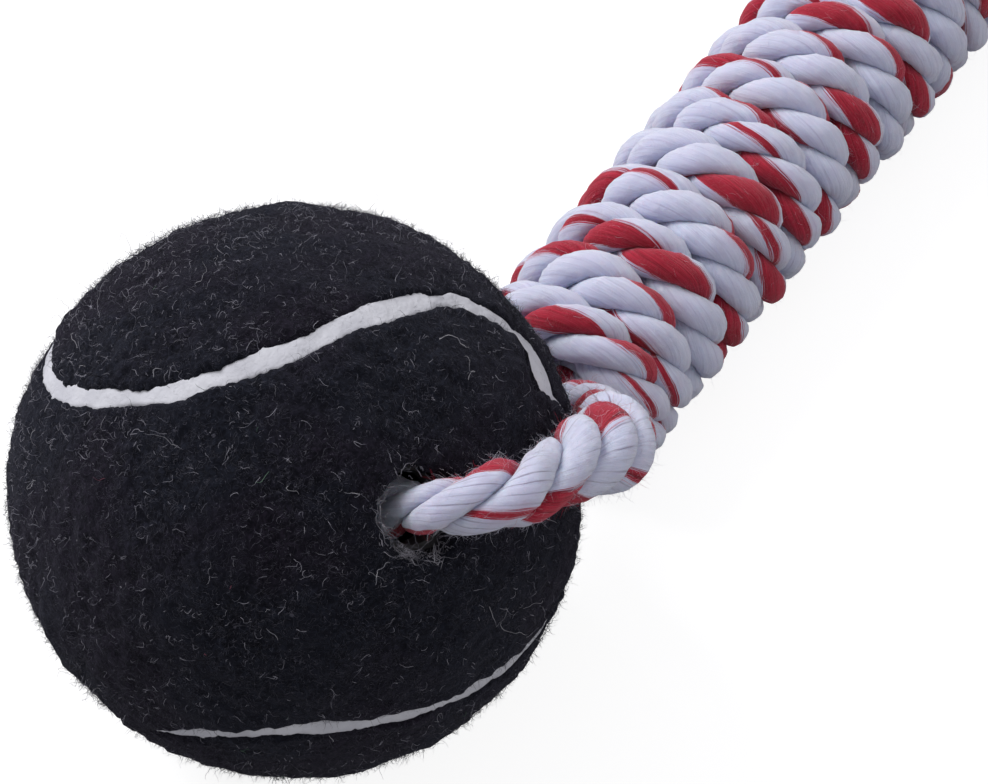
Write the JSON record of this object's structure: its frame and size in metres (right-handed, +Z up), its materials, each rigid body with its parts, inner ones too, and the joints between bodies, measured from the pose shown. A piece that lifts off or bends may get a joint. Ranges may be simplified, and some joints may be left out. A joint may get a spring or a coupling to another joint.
{
  "type": "dog dumbbell toy",
  "caption": "Tug and fetch toy for a dog: a stiff bar of tightly wound cotton rope, with a felt covered ball threaded on the rope at either end.",
  "frame": {"origin": "on the floor under the middle of the toy", "axes": "+X along the rope bar, from ball a to ball b, +Z up, as the toy lies on a floor on both balls"},
  "size_m": [0.2874, 0.085, 0.0643],
  "materials": {
    "felt": "black napped wool and nylon felt",
    "seam": "matt off-white vulcanised seam",
    "rubber": "matt dark grey rubber",
    "cotton_rope": "laid white cotton with red yarns"
  },
  "bodies": {
    "bar": {"rope_core": "cotton_rope", "rope_wrap": "cotton_rope", "rope_loop_a": "cotton_rope", "rope_loop_b": "cotton_rope"},
    "ball_a": {"core_a_front": "rubber", "core_a_back": "rubber", "felt_a_1": "felt", "felt_a_2": "felt", "seam_a": "seam"},
    "ball_b": {"core_b_front": "rubber", "core_b_back": "rubber", "felt_b_1": "felt", "felt_b_2": "felt", "seam_b": "seam"}
  },
  "joints": [
    {"name": "ball_a_spin", "type": "hinge", "parent": "bar", "child": "ball_a", "pos_m": [-0.11125, 0.0102, 0.032], "axis": [-0.2332, -0.7178, 0.6561], "continuous": true},
    {"name": "ball_b_spin", "type": "hinge", "parent": "bar", "child": "ball_b", "pos_m": [0.11125, -0.0102, 0.032], "axis": [0.2332, 0.7178, 0.6561], "continuous": true}
  ]
}
